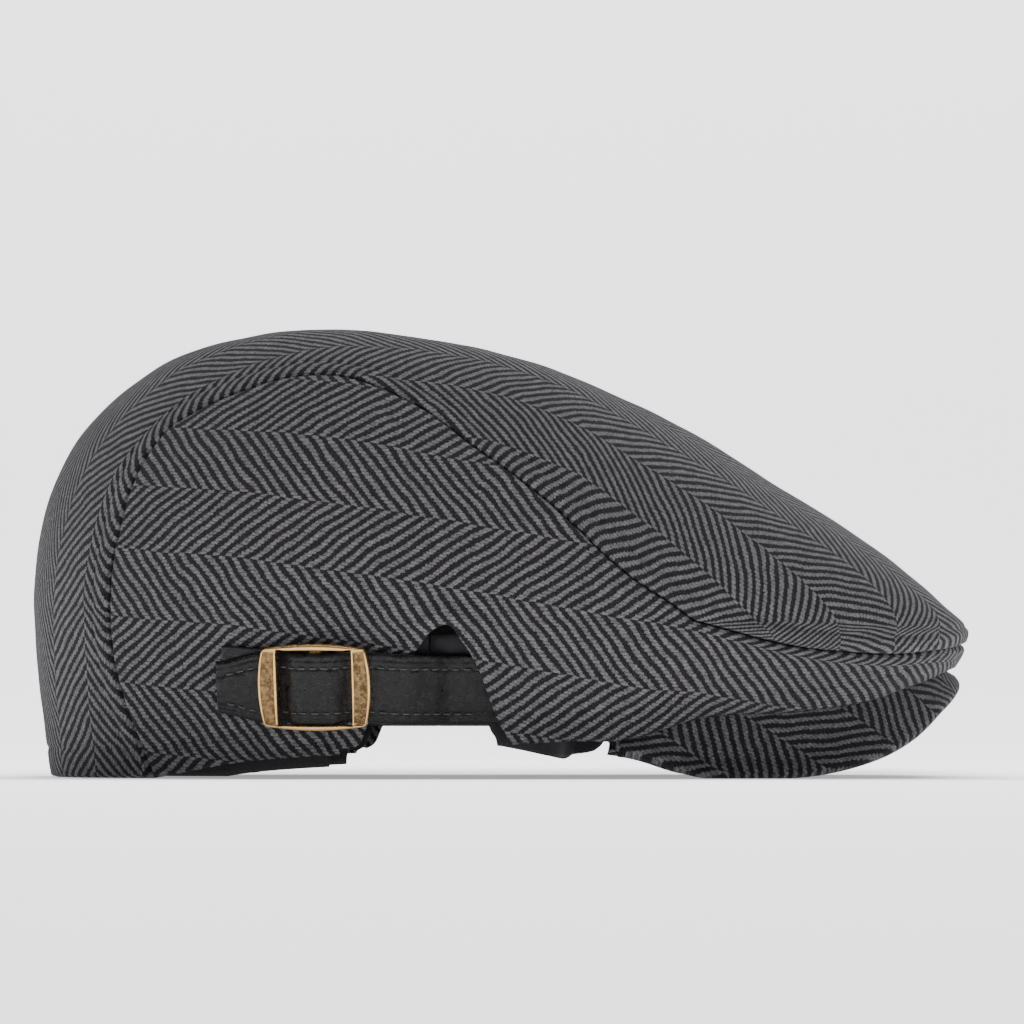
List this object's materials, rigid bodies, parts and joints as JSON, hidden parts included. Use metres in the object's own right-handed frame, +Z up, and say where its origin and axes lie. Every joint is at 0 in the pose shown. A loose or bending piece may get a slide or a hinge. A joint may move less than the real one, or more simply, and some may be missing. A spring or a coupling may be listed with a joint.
{
  "type": "flat cap",
  "caption": "Herringbone wool flat cap with a curved peak, black lining and sweatband, and black leather adjuster straps through brass slide buckles over arched side slots.",
  "frame": {"origin": "on the surface the cap rests on, under the middle of its length and width", "axes": "+X to the front of the peak, -Y to the wearer's right, +Z up"},
  "size_m": [0.2774, 0.186, 0.133],
  "materials": {
    "herringbone_wool": "woven herringbone, matt",
    "black_cloth": "plain weave, matt",
    "black_leather": "grained, semi-gloss, stitched edges",
    "antique_brass": "antiqued, worn bright at the rims"
  },
  "bodies": {
    "root": {"crown_top_panel": "herringbone_wool", "side_panel_right": "herringbone_wool", "side_panel_left": "herringbone_wool", "peak": "herringbone_wool", "lining": "black_cloth", "sweatband_front": "black_cloth", "sweatband_back": "black_cloth", "strap_right": "black_leather", "strap_left": "black_leather", "strap_tab_right": "black_leather", "strap_tab_left": "black_leather", "buckle_right": "antique_brass", "buckle_left": "antique_brass"}
  },
  "joints": []
}
